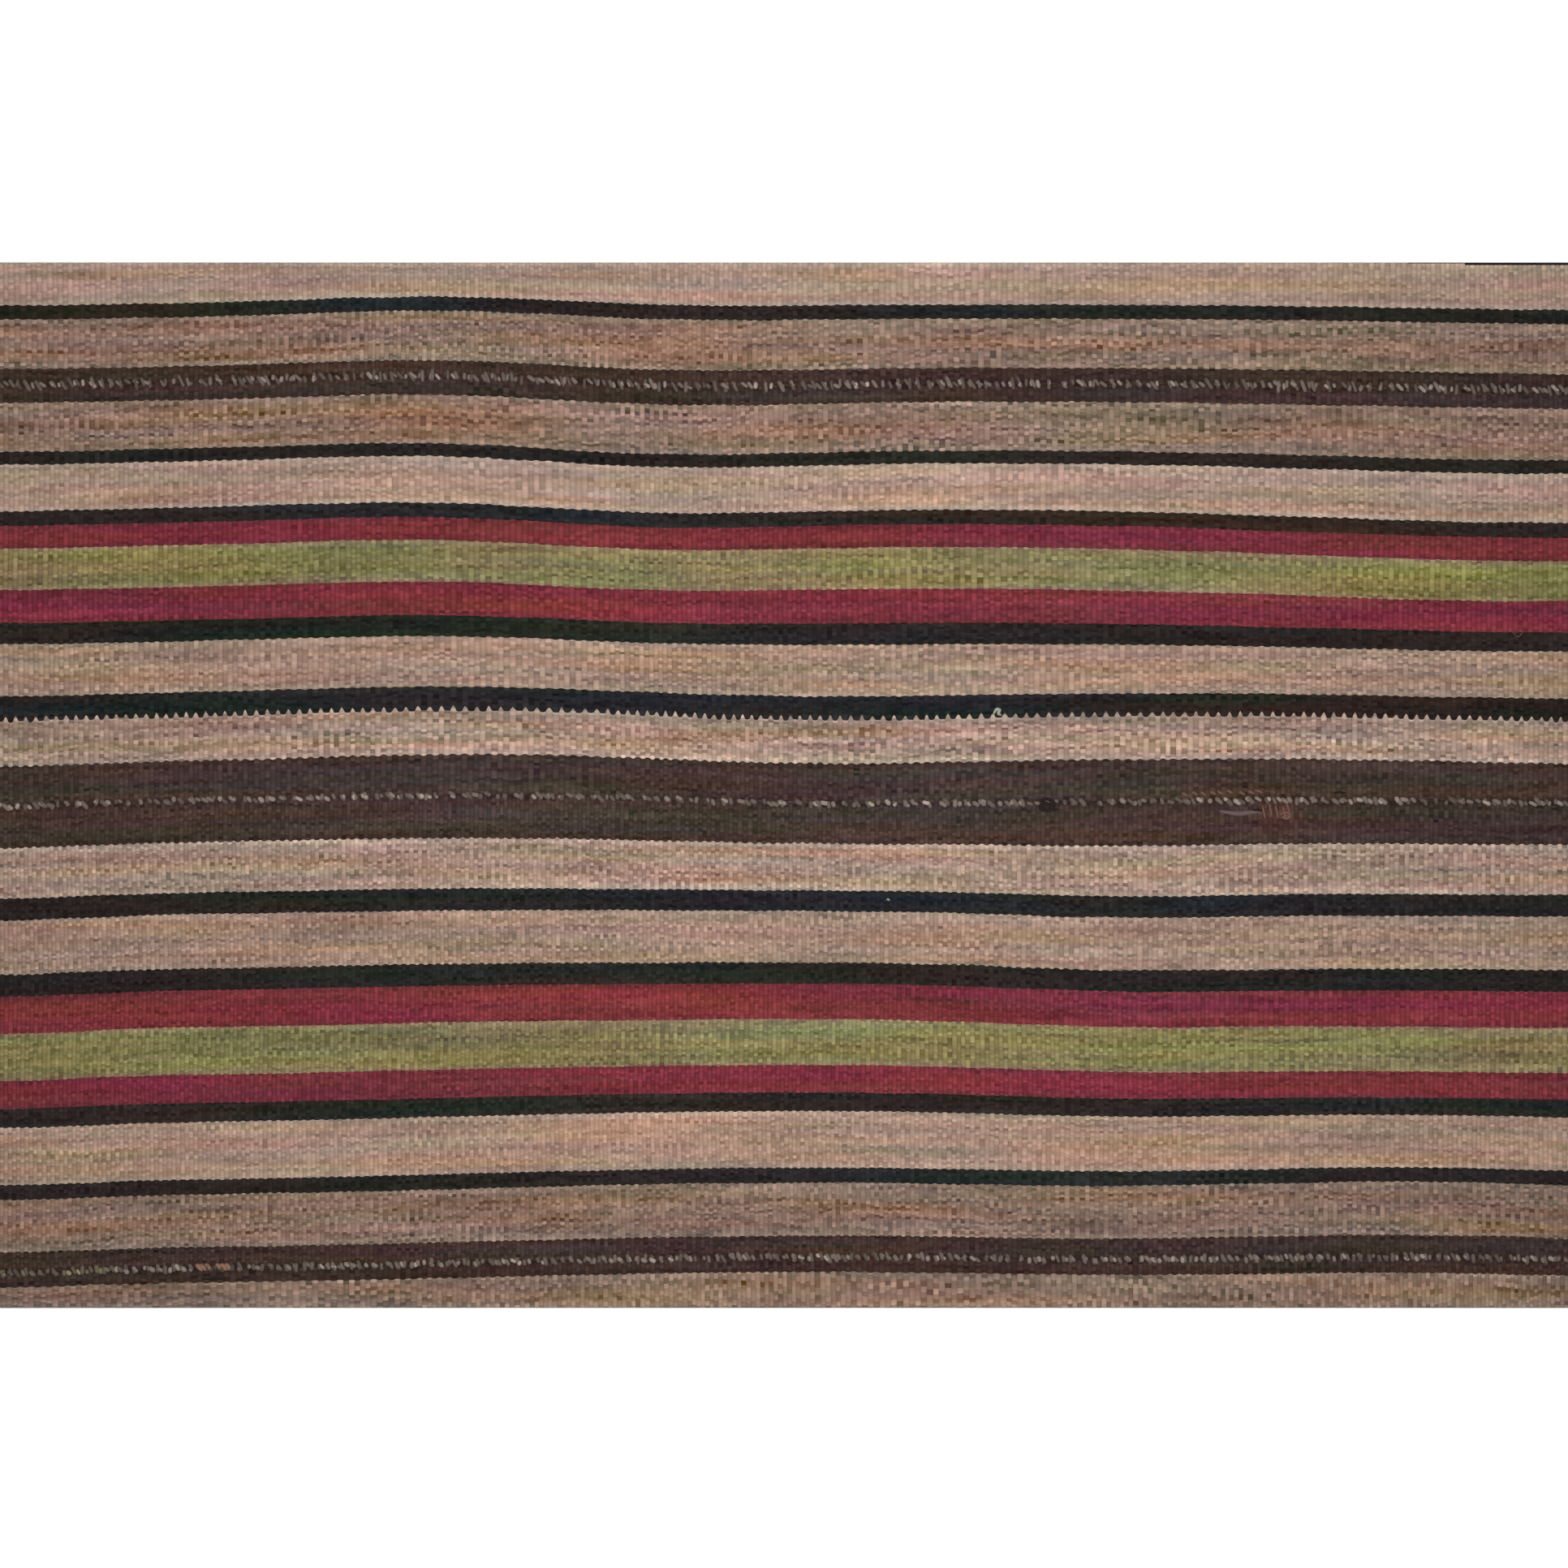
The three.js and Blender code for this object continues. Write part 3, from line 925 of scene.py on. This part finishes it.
def sewing_yarn():
    material = bpy.data.materials.new("sewing_yarn")
    material.use_nodes = True
    tree = material.node_tree
    shader = tree.nodes["Principled BSDF"]
    split = tree.nodes.new("ShaderNodeSeparateXYZ")
    tree.links.new(attribute_of(tree, "turns", "Vector"), split.inputs[0])
    twist = value_of(tree, "ADD", value_of(tree, "MULTIPLY", split.outputs[0], 1 / (PLY_PITCH * MM)),
                     split.outputs[1])
    ply = value_of(tree, "SINE", value_of(tree, "MULTIPLY", twist, 4 * math.pi))
    # Painted light on the plies and painted shade between them, in step with the ply bump
    colour = brightened(tree, attribute_of(tree, "yarn_colour", "Color"),
                        value_of(tree, "MULTIPLY_ADD", ply, 0.12, 0.95))
    tree.links.new(colour, shader.inputs["Base Color"])
    relief = tree.nodes.new("ShaderNodeBump")
    relief.inputs["Strength"].default_value = 0.7
    relief.inputs["Distance"].default_value = PLY_RELIEF * MM
    tree.links.new(ply, relief.inputs["Height"])
    tree.links.new(relief.outputs["Normal"], shader.inputs["Normal"])
    shader.inputs["Roughness"].default_value = 0.95
    shader.inputs["Specular IOR Level"].default_value = 0.08
    shader.inputs["Sheen Weight"].default_value = 0.03
    return material


def studio():
    scene = bpy.context.scene
    scene.view_settings.view_transform = "Standard"
    bm = bmesh.new()
    bmesh.ops.create_grid(bm, x_segments=2, y_segments=2, size=FLOOR_HALF)
    bmesh.ops.translate(bm, verts=bm.verts[:], vec=(0, 0, -FLOOR_DROP))
    mesh = bpy.data.meshes.new("floor")
    bm.to_mesh(mesh)
    bm.free()
    floor = bpy.data.objects.new("floor", mesh)
    scene.collection.objects.link(floor)
    paint = bpy.data.materials.new("floor_paint")
    paint.use_nodes = True
    shader = paint.node_tree.nodes["Principled BSDF"]
    shader.inputs["Base Color"].default_value = (0.92, 0.92, 0.92, 1)
    shader.inputs["Roughness"].default_value = 0.9
    shader.inputs["Specular IOR Level"].default_value = 0.0
    mesh.materials.append(paint)

    world = bpy.data.worlds.new("studio")
    scene.world = world
    world.use_nodes = True
    world.node_tree.nodes["Background"].inputs["Color"].default_value = (1, 1, 1, 1)
    world.node_tree.nodes["Background"].inputs["Strength"].default_value = WORLD_LIGHT

    lamp = bpy.data.lights.new("softbox", "AREA")
    lamp.shape = "SQUARE"
    lamp.size = SOFTBOX_SIDE
    lamp.energy = SOFTBOX_POWER
    softbox = bpy.data.objects.new("softbox", lamp)
    softbox.location = SOFTBOX_PLACE
    scene.collection.objects.link(softbox)

    lens = bpy.data.cameras.new("camera")
    lens.sensor_width = 36
    lens.lens = lens.sensor_width * CAMERA_HEIGHT / VIEW_WIDTH
    lens.clip_end = 50
    camera = bpy.data.objects.new("camera", lens)
    camera.location = Vector((*VIEW_MIDDLE, CAMERA_HEIGHT + THICK)) * MM
    scene.collection.objects.link(camera)
    scene.camera = camera
    return floor


floor = studio()
yarn_materials = {name: wool(name, yarn, 3.1 * i) for i, (name, yarn) in enumerate(YARNS.items())}
woven = {}
for strip in STRIPS:
    piece = yarn_strip(strip, yarn_materials)
    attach(piece, "root")
    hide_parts(strip.node)
    woven[piece.name] = piece

sewing = sewing_yarn()
stitches = {}
for seam in SEAMS:
    runs = [stitch_run(seam, *kind) for kind in STITCH_KINDS]
    stitches[seam.joins] = [yarn_piece(seam.name, runs, sewing)]
stitches["woven_strip_2"].append(yarn_piece("loose_yarns", loose_yarns(), sewing))
for sewn in stitches.values():
    for piece in sewn:
        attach(piece, "root")

for strip in STRIPS:
    piece = woven["woven_" + strip.node]
    sewn = stitches.get(piece.name, [])
